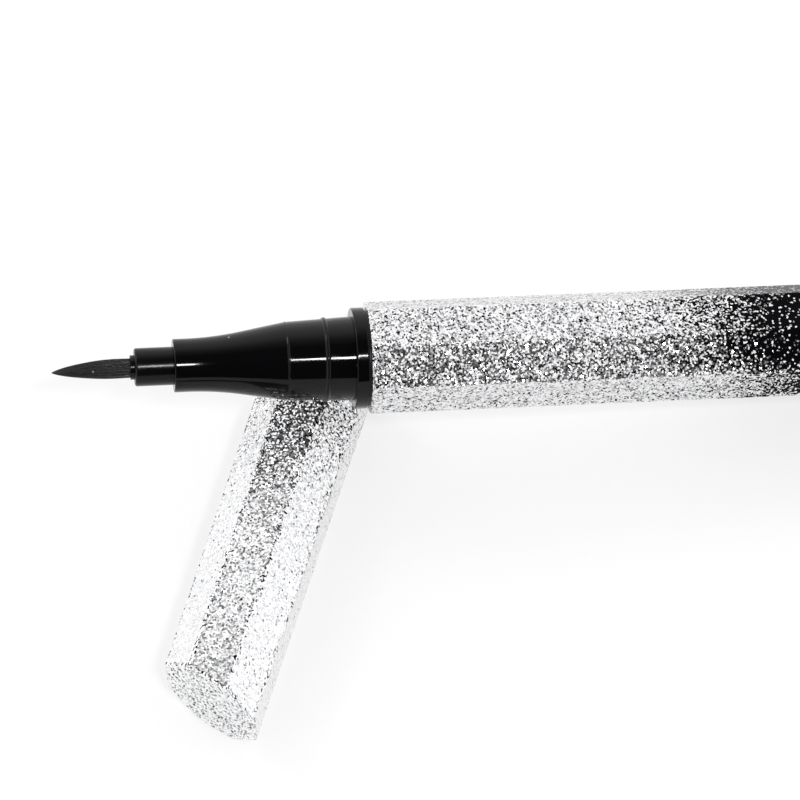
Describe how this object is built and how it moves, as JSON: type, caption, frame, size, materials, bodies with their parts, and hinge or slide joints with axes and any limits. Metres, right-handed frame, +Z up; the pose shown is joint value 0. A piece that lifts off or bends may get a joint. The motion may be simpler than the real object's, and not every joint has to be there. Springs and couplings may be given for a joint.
{
  "type": "liquid eyeliner pen",
  "caption": "Open liquid eyeliner pen with a brush tip, silver glitter octagonal barrel fading to black, leaning on its slant-ended cap.",
  "frame": {"origin": "point of the table under the place where the pen's axis passes over the cap's axis, on the cap's lower facet", "axes": "+X along the pen in plan, towards its tail; +Y away from the viewer, from the cap's closed end to its mouth; +Z up"},
  "size_m": [0.1238, 0.0425, 0.0195],
  "materials": {
    "barrel_glitter": "silver glitter under clear gloss, fading to glossy black towards the tail",
    "cap_glitter": "silver glitter under clear gloss",
    "black_gloss": "polished black moulding",
    "black_satin": "satin black moulding",
    "bristle": "fine black synthetic bristles, damp with ink",
    "fibre": "bonded fibre rod, soaked with ink",
    "white_plastic": "natural moulding",
    "tank_plastic": "dark moulding",
    "seal_rubber": "matte",
    "steel": "polished"
  },
  "bodies": {
    "pen": {"barrel_shell": "barrel_glitter", "tail_plug": "black_gloss", "collar_ring": "black_gloss", "front_section": "black_gloss", "tip_sleeve": "black_satin", "brush_ferrule": "black_satin", "brush_bristles": "bristle", "feed_rod": "fibre", "collector": "white_plastic", "collector_seal": "seal_rubber", "ink_tank": "tank_plastic"},
    "cap": {"cap_shell": "cap_glitter", "cap_liner": "black_satin", "inner_cap": "white_plastic", "cap_gasket": "seal_rubber"},
    "ball": {"stirring_ball": "steel"}
  },
  "joints": [
    {"name": "cap_pull", "type": "slide", "parent": "pen", "child": "cap", "axis": [-0.3616, -0.9323, 0], "range_m": [0, 0.03]},
    {"name": "ball_roll", "type": "slide", "parent": "pen", "child": "ball", "axis": [-0.9951, 0, 0.0994], "range_m": [0, 0.0385]}
  ]
}
